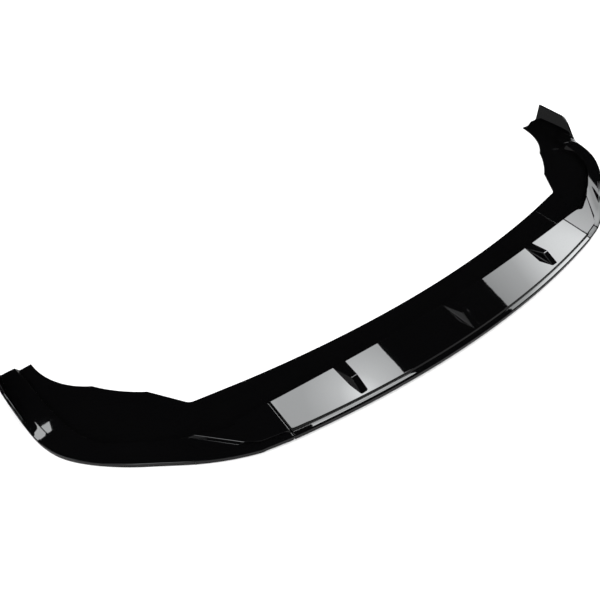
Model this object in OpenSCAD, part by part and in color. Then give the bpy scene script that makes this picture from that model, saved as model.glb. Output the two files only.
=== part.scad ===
// Front splitter lip for a car bumper, moulded in three sections.
// X runs across the car, the lip's leading edge faces -Y and +Z is up.
// The origin is the centre pilot recess, at the underside of the flange.

/* [Overall] */
// Width across the feet of the two end plates
overall_w = 1660; // [1600:1:1720]
// Depth from the leading edge at a seam back to the rear end of the end plates
side_depth = 440; // [410:1:470]

/* [Mouldings] */
// Distance from the centre line to the middle of each seam
seam_x = 450; // [430:1:470]
// Gap between neighbouring sections at a seam
seam_gap = 0.3; // [0.2:0.1:1]
// Wall thickness of the raised channel
wall = 3; // [2.4:0.1:3.6]
// Thickness of the flat mounting flange
flange_t = 3; // [2.4:0.1:4]
// Chamfer along the top rear edge of the deck
crease_chamfer = 1.4; // [0.8:0.1:2]
// Lean of the channel's rear wall, in degrees
rear_draft = 6; // [2:0.5:10]
// Lean of that wall at the rear end of a side section, in degrees
end_draft = 24; // [8:0.5:28]

/* [Centre section outline] */
// How far the flange reaches behind the centre pilot recess
flange_reach = 25.3; // [20:0.1:30]
// How much further back the flange's rear edge lies at a seam
flange_bow = 34.5; // [28:0.5:40]
// How far the deck's rear edge lies ahead of the centre pilot recess
crease_reach = 42.5; // [38:0.5:46]
// How much further back the deck's rear edge lies at a seam
crease_bow = 22.5; // [18:0.5:27]
// How far the leading edge lies ahead of the centre pilot recess
lead_reach = 142; // [136:0.5:150]
// How much further back the leading edge lies at a seam
lead_bow = 41.7; // [36:0.5:46]
// Width of the low strip in front of the deck
strip_w = 12.5; // [10:0.5:15]

/* [Levels] */
// Height of the deck's rear edge at the middle of the car
deck_h = 28; // [25:0.5:32]
// How much lower the deck lies at a seam
deck_fall = 1.8; // [0.5:0.1:3]
// How much lower the deck's front edge lies than its rear edge
deck_tilt = 2.3; // [1:0.1:4]
// Height of the step from the deck down to the strip
step_h = 4.4; // [3:0.1:5.5]
// Height of the bead that runs along the strip
bead_h = 0.7; // [0.4:0.1:1]
// Fall from the strip's rear edge to the top of the leading face
strip_fall = 2; // [1:0.1:3]
// Height of the leading face
face_h = 11.5; // [9:0.5:13]
// Height of the rear edge of the side shelves
shelf_h = 15.5; // [13:0.5:17]
// How much lower the outer edge of a side shelf lies
shelf_fall = 2.8; // [1.5:0.1:4]
// Height of the outer edge of the side shelves
rim_h = 11; // [10:0.5:12.5]

/* [End plates] */
// Height of an end plate above the outer edge of the shelf
plate_h = 48; // [35:1:60]
// Length of the level top of an end plate
plate_len = 76; // [60:1:100]
// Length of the swept front of an end plate
plate_ramp = 84; // [60:1:110]
// Thickness of an end plate at its top
plate_t = 3.6; // [3:0.1:5]
// Outward lean of an end plate over its height
plate_lean = 3.2; // [1:0.1:6]
// Backward rake of an end plate's rear edge over its height
plate_rake = 7; // [0:0.5:12]
// Thickness of an end plate just above its fillet
plate_foot = 5; // [4.5:0.1:7]
// Size of the fillet at the foot of an end plate, along the level top
plate_fillet = 4.5; // [3:0.1:6]
// How much wider that fillet grows toward the front of an end plate
plate_flare = 8.5; // [4:0.5:10]

/* [Fins] */
// Distance between neighbouring fins
fin_pitch = 293; // [240:1:330]
// Height of a fin's peak above the deck
fin_h = 14; // [8:0.5:20]
// Width of a fin at its rear end
fin_rear_w = 30; // [18:0.5:32]
// Width of a fin along its peak
fin_peak_w = 14; // [8:0.2:16]
// Width of a fin at its front end
fin_front_w = 17; // [10:0.2:18]
// Share of a fin's length that its rear ramp takes
fin_peak_at = 0.57; // [0.4:0.01:0.7]
// Distance from the deck's rear edge to a fin
fin_rear_gap = 1.6; // [1.5:0.1:5]
// Distance from the deck's front edge to a fin
fin_front_gap = 4; // [2:0.5:10]

/* [Fixings] */
// Diameter of the pilot recesses in the flange's underside
fixing_d = 6.5; // [4.5:0.1:8]
// Depth of the pilot recesses, which are drilled through when the lip is fitted
fixing_depth = 2; // [1:0.1:2.2]
// Distance of the inner pilot recesses from the centre line
fixing_inner_x = 200; // [160:1:240]
// Distance of the centre section's outer pilot recesses from the centre line
fixing_outer_x = 405; // [370:1:425]
// How far the outer pilot recesses lie behind the centre one
fixing_bow = 3.7; // [0:0.1:8]
// Nominal diameter of the seam bolts
bolt_d = 5; // [4:1:6]
// Length of a seam bolt under its head
bolt_len = 16; // [14:1:20]
// Clearance around a seam bolt in its hole, over the diameter
bolt_clear = 0.5; // [0.3:0.1:1]
// Width across the flats of the bolt heads and nuts
hex_af = 8; // [7:0.5:10]
// Height of a bolt head
head_h = 3.5; // [3:0.1:4.5]
// Height of a nut
nut_h = 4; // [3:0.1:5]
// Diameter of a washer
washer_d = 10; // [9:0.5:12]
// Thickness of a washer
washer_t = 1; // [0.8:0.1:1.6]
// Height of the seam bolts above the flange's underside
bolt_z = 11.5; // [9:0.1:13]
// Thickness of the stiffening ribs
rib_t = 2.4; // [1.6:0.1:3]
// Distance between the ribs of the centre section
rib_pitch = 100; // [75:5:150]

/* [Hidden] */
$fn = 48;

// Side outlines are drawn for a section of SIDE_SPAN and stretched to the overall sizes.
// Each is measured from where its line crosses the seam.
SIDE_SPAN = [380, 440];
// Rear edge of the deck and, past the raised deck, of the shelf
SIDE_CREASE = [[0, 0], [55, 5.5], [82, 1.5], [110, 11], [138, 23.5], [172, 42.5],
    [200, 57], [238, 82], [265, 101], [288, 125], [303, 152], [316, 189],
    [325, 228], [332, 268], [338, 312], [347, 358]];
// Leading and outer edge, one point for each point of the rear edge
SIDE_LEAD = [[0, 0], [17, 4], [33, 8], [50, 12.3], [65, 16.3], [112, 36.5],
    [160, 63], [212, 97.5], [262, 132], [308, 171], [342, 210], [362, 251],
    [373, 298], [377, 342], [379, 388], [380, 440]];
// Corners of the flange's rear edge: bend, first notch, second notch and tip
FLANGE_CORNERS = [[111.8, 19.2], [164.3, 88.2], [243.7, 162.2], [319, 281.2]];
bend_r = 22;
first_scallop_turn = 19;
second_scallop_turn = 53;
// Pilot recesses of a side section
SIDE_FIXINGS = [[140, 70], [230, 132], [295, 225]];
// Stations along a side section: the raised deck ends between DECK_END and SHELF_START
DECK_END = 4;
SHELF_START = 4.16;
SIDE_END = len(SIDE_CREASE) - 1;
CENTRE_STEPS = 20;
SIDE_STEP = 0.25;
SEAM_DECK_FRONT = deck_h - deck_fall - deck_tilt;
RIM_LEVEL_AT = 9;
// Fall of the deck's front edge from the seam to the deck's end
SIDE_DECK_FALL = 2.6;
// Share of the shelf's fall that is there at the seam
SHELF_FALL_SHARE = 0.4;
// Station from which the rear wall leans more
DRAFT_FROM = 8;
// Shares of the strip's width where the bead's points lie, and how far each has come down to the face's top
BEAD_AT = [0.68, 0.5, 0.32];
BEAD_DROP = [0, 0.2, 0.5];
// Shares of the end plate's fillet where its points lie, out from the plate and up from the shelf
FILLET_OUT = [1, 0.3, 0];
FILLET_UP = [0, 0.3, 1];
STRIP_MARGIN = 2;
CREASE_POWER = 1.6;
HEADING_STEP = 0.05;
// Shares of the wall by which the lining's corners below the groove are set back
LINING_INSET = [0.6, 0.9];
NUT_PLAY = 0.1;
RIB_STATIONS = [2, 6, 8, 10, 12, 14];
MM_IN = 0.5;
EDGE_R = 0.8;
STEP_RUN = 0.8;
SHELF_EASE = 0.04;
FLARE_RUN = 85;
PLATE_FORMS = 12;
SPREAD_AT = 7;
SPREAD_RUN = 3;
centre_half = seam_x - seam_gap / 2;
side_start = seam_x + seam_gap / 2;
bolt_hole_r = (bolt_d + bolt_clear) / 2;

// Value between a and b
function mix(a, b, t) = a + (b - a) * t;
function unit(v) = v / norm(v);
function left_of(v) = [-v.y, v.x];
function at_z(p, z) = [p.x, p.y, z];
// Eased step from 0 to 1
function ease(t) = let(s = min(max(t, 0), 1)) s * s * (3 - 2 * s);
// Point on a smooth curve through pts, at station s
function through(pts, s) =
    let(n = len(pts) - 1, i = min(floor(s), n - 1), t = s - i,
        a = pts[max(i - 1, 0)], b = pts[i], c = pts[i + 1], d = pts[min(i + 2, n)])
    (2 * b + (c - a) * t + (2 * a - 5 * b + 4 * c - d) * t ^ 2
        + (3 * b - a - 3 * c + d) * t ^ 3) / 2;
function heading(pts, s) =
    let(n = len(pts) - 1)
    unit(stretched(through(pts, min(s + HEADING_STEP, n)) - through(pts, max(s - HEADING_STEP, 0))));
// Circular arc from p to q that turns left by turn degrees
function arc(p, q, turn, steps) =
    let(chord = norm(q - p), r = chord / 2 / sin(turn / 2), dir = unit(q - p),
        centre = (p + q) / 2 + left_of(dir) * r * cos(turn / 2),
        a0 = atan2(p.y - centre.y, p.x - centre.x))
    [for (i = [0:steps]) centre + r * [cos(a0 + turn * i / steps), sin(a0 + turn * i / steps)]];
// Rounded corner at b between a and c
function rounded(a, b, c, r, steps) =
    let(u = unit(a - b), v = unit(c - b), half = acos(u * v) / 2, back = r / tan(half))
    arc(b + u * back, b + v * back, 180 - 2 * half, steps);

// Lines of the centre section, at distance x from the centre line
function share(x) = abs(x) / seam_x;
function flange_rear(x) = flange_reach + flange_bow * share(x) ^ 2;
function crease_y(x) = crease_bow * share(x) ^ CREASE_POWER - crease_reach;
function lead_y(x) = lead_bow * share(x) ^ 2 - lead_reach;
function deck_level(x) = deck_h - deck_fall * share(x) ^ 2;

// A station holds the plan points and levels of one cross-section:
// crease, its rearward normal, groove, leading edge, its inward normal,
// crease level, deck front level, strip level, face top, face bottom, plate height, bead height,
// levels of the underside below the crease and the groove, foot of the rear wall behind the crease,
// and how far the strip's lines have spread to those of the end plate's fillet
function centre_station(x) =
    let(z = deck_level(x) - deck_tilt)
    [[x, crease_y(x)], [0, 1], [x, lead_y(x) + strip_w], [x, lead_y(x)], [0, 1],
        deck_level(x), z, z - step_h, z - step_h - strip_fall,
        z - step_h - strip_fall - face_h, 0, bead_h, z + deck_tilt - wall, z - wall,
        deck_level(x) * tan(rear_draft), 0];
function side_normal(pts, s) =
    unit(mix([0, 1], left_of(heading(pts, s)), min(s, 1)));
// Stretches a step along a side outline to the overall sizes
function stretched(v) = [v.x * (overall_w / 2 - side_start) / SIDE_SPAN.x, v.y * side_depth / SIDE_SPAN.y];
// Point of a side outline that starts at y at the seam
function placed(p, y) = [side_start, y] + stretched(p);
function side_crease(s) = placed(through(SIDE_CREASE, s), crease_y(seam_x));
function side_lead(s) = placed(through(SIDE_LEAD, s), lead_y(seam_x));
function plate_rise(y) =
    let(rear = side_lead(SIDE_END).y) plate_h * ease((y - rear + plate_len + plate_ramp) / plate_ramp);
// Width of the end plate's fillet where the leading edge lies at y
function fillet_at(y) =
    let(rear = side_lead(SIDE_END).y) plate_fillet + plate_flare * ease((rear - plate_len + MM_IN - y) / FLARE_RUN);
function side_station(s) =
    let(c = side_crease(s), l = side_lead(s), cn = side_normal(SIDE_CREASE, s),
        ln = side_normal(SIDE_LEAD, s), raised = s <= DECK_END,
        fade = s / DECK_END, out = ease(s / RIM_LEVEL_AT),
        top = mix(SEAM_DECK_FRONT - step_h - strip_fall, rim_h, out),
        deck_z = SEAM_DECK_FRONT - SIDE_DECK_FALL * fade,
        shelf_front = shelf_h - shelf_fall * mix(SHELF_FALL_SHARE, 1, out),
        strip = raised ? mix(SEAM_DECK_FRONT - step_h, shelf_front, fade ^ 2) : shelf_front,
        hollow = s < DECK_END, rise = plate_rise(l.y),
        spread = ease((s - SPREAD_AT) / SPREAD_RUN),
        w = mix(strip_w, max(strip_w, plate_foot + fillet_at(l.y) + STRIP_MARGIN), spread))
    [c, cn, l + w * ln, l, ln,
        raised ? deck_z + deck_tilt : shelf_h, raised ? deck_z : strip + SHELF_EASE,
        strip, top, max(top - face_h, 0), rise, bead_h * (1 - ease(s / DECK_END)),
        (hollow ? deck_z + deck_tilt : shelf_h) - wall, (hollow ? deck_z : strip) - wall,
        (raised ? deck_z + deck_tilt : shelf_h) * tan(mix(rear_draft, end_draft,
            ease((s - DRAFT_FROM) / (SIDE_END - DRAFT_FROM)))), spread];

// How far back along the end plate's level top a point lies, from 0 to 1
function behind(y) = ease((y - side_lead(SIDE_END).y + plate_len) / plate_len);
// Outer skin of a station, from the foot of the rear wall to the foot of the leading face
function skin(st) =
    let(c = st[0], cn = st[1], g = st[2], l = st[3], ln = st[4], top = st[8], rise = st[10],
        spread = st[15], full = rise / plate_h, formed = ease(rise / PLATE_FORMS),
        out = plate_lean * full, rake = [0, plate_rake * full * behind(l.y)],
        fillet = fillet_at(l.y), w = norm(g - l), crest = st[7] + st[11],
        run = [for (i = [0:2]) mix(w * BEAD_AT[i], plate_foot + FILLET_OUT[i] * fillet, spread)],
        lift = FILLET_UP * fillet * formed)
    [at_z(c + cn * st[14], 0),
        at_z(c, st[5] - crease_chamfer),
        at_z(c - cn * crease_chamfer, st[5]),
        at_z(mix(c, g, 0.5), mix(st[5], st[6], 0.5)),
        at_z(g, st[6]),
        at_z(g - ln * STEP_RUN, st[7]),
        each [for (i = [0:2]) at_z(l + ln * run[i],
            mix(mix(crest, top, BEAD_DROP[i]), mix(top, st[7], run[i] / w) + lift[i], spread))],
        at_z(l + ln * mix(EDGE_R, plate_t - out, formed) + rake, top + rise),
        at_z(l - ln * out + rake, top + rise - EDGE_R * (1 - formed)),
        at_z(l, st[9])];
// Underside of the channel, from the leading face back to the rear wall
function lining(st) =
    let(c = st[0], cn = st[1], g = st[2], l = st[3], ln = st[4])
    [at_z(l + ln * wall, st[9]),
        at_z(l + ln * wall, st[8] - wall),
        at_z(g + ln * wall * LINING_INSET[0], st[7] - wall),
        at_z(g + ln * wall * LINING_INSET[1], st[13]),
        at_z(mix(c, g, 0.5), mix(st[12], st[13], 0.5)),
        at_z(c - cn * wall, st[12]),
        at_z(c + cn * (st[14] - wall), 0)];

// Closed channel lofted through stations
module channel(stations) {
    rings = [for (st = stations) concat(skin(st), lining(st))];
    m = len(rings[0]);
    n = len(rings);
    cap = [[0, 1, 17], [0, 17, 18], [1, 2, 17], [2, 3, 16], [2, 16, 17], [3, 4, 15], [3, 15, 16],
        [4, 5, 14], [4, 14, 15], [5, 6, 13], [5, 13, 14], [6, 7, 13], [7, 8, 13], [8, 9, 10],
        [8, 10, 13], [10, 11, 13], [11, 12, 13]];
    sides = [for (i = [0:n - 2], j = [0:m - 1])
        let(k = (j + 1) % m, a = i * m)
        each [[a + j, a + m + j, a + m + k], [a + j, a + m + k, a + k]]];
    caps = concat([for (f = cap) f],
        [for (f = cap) [for (v = [len(f) - 1:-1:0]) f[v] + (n - 1) * m]]);
    polyhedron(points = [for (r = rings) each r], faces = concat(sides, caps), convexity = 6);
}

// Flat plate of thickness t across the channel at a station
module web(st, t, foot) {
    span = st[0] - st[3];
    d = norm(span);
    h = wall / 2;
    lead_run = 1 / (unit(span) * st[4]);
    rear_run = 1 / (unit(span) * st[1]);
    w = norm(st[2] - st[3]);
    translate(st[3]) rotate([90, 0, atan2(span.y, span.x)]) linear_extrude(t) polygon([
        [h * lead_run, max(st[9], foot)], [h * lead_run, st[8] - h], [(w + h) * lead_run, st[7] - h],
        [(w + wall) * lead_run, st[13] + h], [d - h * rear_run, st[12] + h],
        [d + (st[14] - h) * rear_run, foot]]);
}

// Wedge-shaped fin whose peak lies across the deck
module fin(x) {
    sink = wall / 2;
    rear = crease_y(x) - fin_rear_gap;
    front = lead_y(x) + strip_w + fin_front_gap;
    peak = mix(rear, front, fin_peak_at);
    rear_z = deck_level(x);
    front_z = rear_z - deck_tilt;
    peak_z = mix(rear_z, front_z, fin_peak_at) + fin_h;
    function pair(y, w, z) = [[x - w / 2, y, z], [x + w / 2, y, z]];
    polyhedron(points = concat(pair(rear, fin_rear_w, rear_z - sink), pair(front, fin_front_w, front_z - sink),
            pair(rear, fin_rear_w, rear_z), pair(front, fin_front_w, front_z), pair(peak, fin_peak_w, peak_z)),
        faces = [[0, 2, 3, 1], [0, 1, 5, 4], [2, 6, 7, 3], [0, 4, 6, 2], [1, 3, 7, 5],
            [4, 8, 6], [5, 7, 9], [4, 5, 9, 8], [6, 8, 9, 7]], convexity = 3);
}

// Round hole for a bolt across a seam
module across(x, z, y, d, length) {
    translate([x, y, z]) rotate([0, 90, 0]) cylinder(d = d, h = length);
}

module pilot_recess(p) {
    translate([p.x, p.y, -MM_IN]) cylinder(d = fixing_d, h = fixing_depth + MM_IN);
}

// Places of the two bolts at a seam, as y values
function bolt_rows() = [for (t = [0.3, 0.7]) mix(crease_y(seam_x), lead_y(seam_x) + strip_w, t)];

module centre_shape() {
    xs = [for (i = [0:CENTRE_STEPS]) centre_half * (2 * i / CENTRE_STEPS - 1)];
    channel([for (x = xs) centre_station(x)]);
    linear_extrude(flange_t) polygon(concat(
        [for (x = xs) [x, flange_rear(x)]],
        [for (i = [CENTRE_STEPS:-1:0]) let(x = xs[i])
            [x, crease_y(x) + deck_level(x) * tan(rear_draft) - wall / 2]]));
    ribs = floor((seam_x - rib_pitch / 2) / rib_pitch);
    for (i = [-ribs:ribs])
        web(centre_station(i * rib_pitch - rib_t / 2), rib_t, 1);
    for (x = [-centre_half, centre_half - wall])
        web(centre_station(x), wall, 0);
    for (i = [-1:1])
        fin(i * fin_pitch);
}

module centre_section() {
    color([0.015, 0.015, 0.018])
    difference() {
        centre_shape();
        pilot_recess([0, 0]);
        for (s = [-1, 1]) {
            pilot_recess([s * fixing_inner_x, fixing_bow * (fixing_inner_x / fixing_outer_x) ^ 2]);
            pilot_recess([s * fixing_outer_x, fixing_bow]);
            for (y = bolt_rows())
                across(s * seam_x - 2 * wall, bolt_z, y, 2 * bolt_hole_r, 4 * wall);
        }
    }
}

module side_flange(stations) {
    start = [side_start, flange_rear(seam_x)];
    corners = [for (p = FLANGE_CORNERS) placed(p, start.y)];
    edge = concat([start], rounded(start, corners[0], corners[1], bend_r, 6),
        arc(corners[1], corners[2], first_scallop_turn, 8),
        arc(corners[2], corners[3], second_scallop_turn, 14));
    linear_extrude(flange_t) polygon(concat(edge,
        [for (i = [len(stations) - 1:-1:0]) let(st = stations[i])
            st[0] + st[1] * (st[14] - wall / 2)]));
}

module side_section() {
    steps = concat([for (s = [0:SIDE_STEP:DECK_END - SIDE_STEP]) s],
        [DECK_END - SIDE_STEP / 2, DECK_END, SHELF_START],
        [for (s = [DECK_END + 2 * SIDE_STEP:SIDE_STEP:SIDE_END]) s]);
    stations = [for (s = steps) side_station(s)];
    difference() {
        union() {
            channel(stations);
            side_flange(stations);
            web(side_station(0), wall, 0);
            for (s = RIB_STATIONS)
                web(side_station(s), rib_t, 1);
        }
        for (p = SIDE_FIXINGS)
            pilot_recess(placed(p, crease_y(seam_x)));
        for (y = bolt_rows())
            across(side_start - wall, bolt_z, y, 2 * bolt_hole_r, 3 * wall);
    }
}

module side_section_left() {
    color([0.015, 0.015, 0.018]) side_section();
}

module side_section_right() {
    color([0.015, 0.015, 0.018]) mirror([1, 0, 0]) side_section();
}

// Runs its children at each seam bolt, with +X from the bolt's head to its tip
module at_seams() {
    for (s = [-1, 1], y = bolt_rows())
        scale([s, 1, 1]) translate([seam_x, y, bolt_z]) children();
}

module hex(h) {
    rotate([0, 90, 0]) cylinder(d = hex_af / cos(30), h = h, $fn = 6);
}

grip = wall + seam_gap / 2;

module seam_bolts() {
    color([0.62, 0.63, 0.65])
    at_seams() {
        translate([-grip - washer_t - head_h, 0, 0]) hex(head_h);
        translate([-grip - washer_t, 0, 0]) rotate([0, 90, 0]) cylinder(d = bolt_d, h = bolt_len);
    }
}

module seam_washers() {
    color([0.7, 0.7, 0.72])
    at_seams()
        for (x = [-grip - washer_t, grip])
            translate([x, 0, 0]) rotate([0, 90, 0]) difference() {
                cylinder(d = washer_d, h = washer_t);
                translate([0, 0, -MM_IN]) cylinder(r = bolt_hole_r, h = washer_t + 2 * MM_IN);
            }
}

module seam_nuts() {
    color([0.62, 0.63, 0.65])
    at_seams()
        translate([grip + washer_t, 0, 0]) difference() {
            hex(nut_h);
            translate([-MM_IN, 0, 0]) rotate([0, 90, 0]) cylinder(d = bolt_d + NUT_PLAY, h = nut_h + 2 * MM_IN);
        }
}

centre_section();
side_section_left();
side_section_right();
seam_bolts();
seam_washers();
seam_nuts();
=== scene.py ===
import math
from types import SimpleNamespace

import bmesh
import bpy
from mathutils import Matrix, Vector
from mathutils.geometry import tessellate_polygon


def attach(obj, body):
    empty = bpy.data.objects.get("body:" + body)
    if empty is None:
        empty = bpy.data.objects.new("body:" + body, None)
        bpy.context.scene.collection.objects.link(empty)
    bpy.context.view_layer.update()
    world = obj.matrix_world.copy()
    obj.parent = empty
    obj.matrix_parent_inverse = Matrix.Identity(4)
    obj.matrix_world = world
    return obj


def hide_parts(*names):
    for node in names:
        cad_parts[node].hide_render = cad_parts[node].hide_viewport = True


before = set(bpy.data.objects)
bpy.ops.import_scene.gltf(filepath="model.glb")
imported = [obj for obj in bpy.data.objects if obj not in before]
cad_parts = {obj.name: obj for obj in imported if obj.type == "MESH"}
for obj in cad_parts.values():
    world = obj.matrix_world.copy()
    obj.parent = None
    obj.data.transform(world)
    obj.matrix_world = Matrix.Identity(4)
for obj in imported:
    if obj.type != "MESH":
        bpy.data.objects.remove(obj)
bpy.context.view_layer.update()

bl_info = {
    "name": "Front splitter lip",
    "version": (1, 0, 0),
    "blender": (4, 5, 0),
    "location": "3D View > Sidebar > Splitter lip",
    "description": "Gloss black splitter lip moulded in three sections and bolted together at two seams",
    "category": "Add Mesh",
}

MM = 0.001

# Sizes are in millimetres and angles in degrees. Only the studio's are in metres.

# Side outlines, measured from where each line crosses the seam and stretched from SIDE_SPAN
SIDE_SPAN = (380, 440)
SIDE_CREASE = [(0, 0), (60, 3.8), (80, -0.9), (110, 11), (138, 23.5), (172, 42.5), (200, 57), (238, 82),
               (265, 101), (288, 125), (303, 152), (316, 189), (325, 228), (332, 268), (338, 312), (347, 358)]
SIDE_LEAD = [(0, 0), (17, 4), (33, 8), (50, 12.3), (65, 16.3), (112, 36.5), (160, 63), (212, 97.5),
             (262, 132), (308, 171), (342, 210), (362, 251), (373, 298), (377, 342), (379, 388), (380, 440)]
FLANGE_CORNERS = [(111.8, 19.2), (164.3, 88.2), (243.7, 162.2), (319, 281.2)]
SIDE_RECESSES = [(140, 70), (230, 132), (295, 225)]
BEND_R = 22
SCALLOP_TURNS = (19, 53)

# Stations along a side section, one for each point of its outlines; NEXT leads to a station close by
SIDE_END = 15
NEXT = 0.05
BENDS_AT = (3.5, 4.5)
NOTCHES_AT = (7, 10)
DECK_END = 4
SHELF_START = 4.45
LINING_DROP = (3.875, 4)
LINING_SOFT = 0.16
RIB_STATIONS = (2, 6, 8, 10, 12, 14)
RIM_LEVEL_AT = 9
STRIP_LEVEL_AT = 6.5
BEAD_FADE = 1.5
CORNER_FADE = 1.5
SPREAD_AT = 7
SPREAD_RUN = 3
DRAFT_FROM = 8
# The raised deck's end: its edge is PAD_EDGE stations wide, and in such widths from where it starts, its
# rounding ends at PAD_TURN and the foot of its wall lies within PAD_FOOT
PAD_EDGE_AT = 3.87
PAD_EDGE = 0.36
PAD_TURN = 0.92
PAD_FOOT = (1.453, 1.572)
PAD_RINGS = (-0.3, -0.1, 0, 0.1, 0.2, 0.3, 0.4, 0.5, 0.6, 0.7, 0.78, 0.85, 0.92, 1.1, 1.28, 1.45, 1.49, 1.53,
             1.575, 1.75, 2.2)
# Rings lie close together this far before the raised deck's end, and past it up to PAD_AFTER
PAD_BEFORE = 1.1
PAD_AFTER = 0.15

# Fall of a side section's deck outwards, for each millimetre, and the radius of its front corner
PAD_FALL = 0.036
PAD_CORNER_R = 17

# Levels and widths of the channel
DECK_FALL = 1.8
DECK_TILT = 2.3
STEP_H = 4.4
STEP_RUN = 0.8
STRIP_W = 12.5
STRIP_FALL = 2
STRIP_MARGIN = 2
FACE_H = 11.5
SHELF_FALL = 2.8
SHELF_FALL_SHARE = 0.4
SHELF_EASE = 0.04
RIM_H = 11
RIM_BOW = 1.3
# Run of the step's wall for each millimetre of its height, in the centre and on a side section
STEP_LEAN = 0.6
SIDE_STEP_LEAN = 0.3
# The strip's bead: its height, the shares of the strip's width it spans, and its fall to the face's top as the
# factors of q and q squared
BEAD_H = 0.25
BEAD_STEPS = 6
BEAD_SPAN = (0.72, 0.16)
BEAD_DROP = (0.11, 0.3)
FLANGE_REACH = 25.3
FLANGE_BOW = 34.5
CREASE_REACH = 42.5
CREASE_BOW = 22.5
CREASE_POWER = 1.6
CREASE_CHAMFER = 1.4
LEAD_REACH = 142
LEAD_BOW = 41.7
EDGE_W = 0.8
LINING_INSET = (0.6, 0.9)
REAR_DRAFT = 6
END_DRAFT = 24
RADII = SimpleNamespace(flange_foot=0.4, flange_top=0.6, wall_foot=1.4, crease=0.6, deck_front=0.7, step_foot=0.25,
                        edge=0.9, plate_edge=2, face_foot=0.5, lining=0.4)
# A corner's rounding takes at most this share of the way to its neighbours, and CORNER_HOLD past it lies a
# holding point, at most HOLD_REACH of the way
CORNER_REACH = 0.4
CORNER_HOLD = 0.4
HOLD_REACH = 0.48
LEAST_CUT = 0.03
LEAST_R = 0.1
# Two directions that turn less than this, as the turn's sine or tangent, count as one
STRAIGHT = 0.05
# Points nearer to each other than this, in metres, become one
WELD = 2e-6

# End plates
PLATE_LEN = 76
PLATE_RAMP = 84
PLATE_LEAN = 3.2
PLATE_RAKE = 7
PLATE_FOOT = 5
PLATE_FILLET = 4.5
PLATE_FLARE = 8.5
FLARE_RUN = 85
FLARE_START = 0.5
PLATE_FORMS = 12

# Fins: widths at the rear end, the peak and the front end, gaps to the deck's edges, and blends of their faces
FIN_WIDTHS = (30, 14, 17)
FIN_PEAK_AT = 0.57
FIN_REAR_GAP = 0.3
FIN_FRONT_GAP = 4
FIN_CORNER_R = 4
FIN_PEAK_BLEND = 0.8
FIN_FOOT_BLEND = 0.25
# Blends at the foot and the edges of its sides: their growth for each millimetre of height, and the most
FIN_LEAST_BLEND = 0.3
FIN_SIDE_BLENDS = ((0.3, 1.2), (0.4, 1.4))
# Rows outside a fin's foot and inside its edges
FIN_FOOT_ROWS = (1.1, 0.7, 0.4, 0.2)
FIN_EDGE_ROWS = (0.2, 0.45, 0.8, 1.3, 2)
FIN_SINK = 0.06
FIN_ROOT = 0.8
FIN_SKIRT = 1.2

# Seams, their walls and their hardware
SEAM_X = 450
SEAM_GAP = 0.3
# The raised skins stop this much short of the seam's faces, which gives its dark line
SEAM_RELIEF = 0.4
HALF_CENTRE = SEAM_X - SEAM_GAP / 2 - SEAM_RELIEF
SIDE_START = SEAM_X + SEAM_GAP / 2
# The flange's edge at a seam is rounded by this share of the deck's, up to the foot of the rear wall
FLANGE_ROUND = 0.12
WALL_FOOT = 2
SEAM_HOLDS = (0.35, 1.2)
CENTRE_RINGS = 90
END_WALL_T = 3
END_WALL_BACK = 0.2
BOLT_Z = 11.5
BOLT_ROWS = (0.3, 0.7)
BOLT_R = 2.5
BOLT_LEN = 16
BOLT_PITCH = 0.8
THREAD_DEPTH = 0.42
PLAIN_SHANK = 2
TIP_CHAMFER = 0.8
HOLE_R = 2.75
HEX_AF = 8
HEX_FLAT_R = 0.475 * HEX_AF
HEX_CHAMFER = 0.55
HEAD_H = 3.5
NUT_H = 4
NUT_BORE_R = 2.52
SINK_DEPTH = 0.5
SINK_W = 0.4
WASHER_R = 5
WASHER_T = 1
WASHER_EDGE = 0.15
ROUND_STEPS = 48
THREAD_STEPS = 6

# Pilot recesses and ribs
RECESS_DEPTH = 2
RECESS_CHAMFER = 0.3
INNER_RECESS_X = 200
OUTER_RECESS_X = 405
RECESS_BOW = 3.7
RIB_T = 2.4
RIB_PITCH = 100
RIB_FOOT = 1

# Edges that turn more than this are kept sharp on the mouldings and on the hardware
MOULDED_TURN = 32
HARDWARE_TURN = 28

# Studio: each lamp panel's outline and brightest place in plan, the reach of its light, radiance and falloff
FLOOR_HALF = 8
FLOOR_Z = -0.0002
LAMP_Z = 1.5
LAMP_TINT = (0.97, 0.99, 1)
EVEN_FALLOFF = ((0, 0.4), (1, 1))
LAMPS = {
    "lamp_panel_left": (
        ((-0.03, -0.1), (0.64, -0.1), (0.69, 0.7), (-0.03, 0.7), (-0.03, 0.47), (0.08, 0.43)),
        (0.41, 0.42), (1, 1), 17,
        ((0, 0.7), (0.45, 0.7), (0.58, 0.49), (0.7, 0.5), (0.8, 0.59), (0.88, 0.68), (0.92, 0.79), (1, 1))),
    "lamp_panel_right": (
        ((1.5, -0.62), (3.52, -0.62), (3.54, 0.82), (2.9, 0.82), (2.5, 0.7), (1.575, 0.7), (1.482, 0.2)),
        (2.25, -0.45), (1.12, 2.6), 15, ((0, 0.2), (0.45, 0.42), (0.6, 0.66), (1, 1))),
    "lamp_panel_side": (
        ((-3.2, -2), (-2, -2), (-2, -1), (-3.2, -1)), (-2.6, -1.5), (1.2, 1.2), 8, EVEN_FALLOFF),
    "lamp_strip_rear": (
        ((-1.27, 1.17), (-1.13, 1.17), (-1.13, 1.25), (-1.27, 1.25)), (-1.1, 1.2), (0.8, 0.8), 9, EVEN_FALLOFF),
    "lamp_panel_low": (
        ((-9, -1.5), (-2.6, -0.6), (-2.6, 1), (-9, 2.5)), (-4.4, 0.3), (8, 8), 2.6, EVEN_FALLOFF),
}
CAMERA_AT = (-0.7416, -0.4784, 0.8910)
# Azimuth, elevation and roll
CAMERA_TURN = (-38, 47.37, 1.396)
CAMERA_LENS = 32.91


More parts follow.
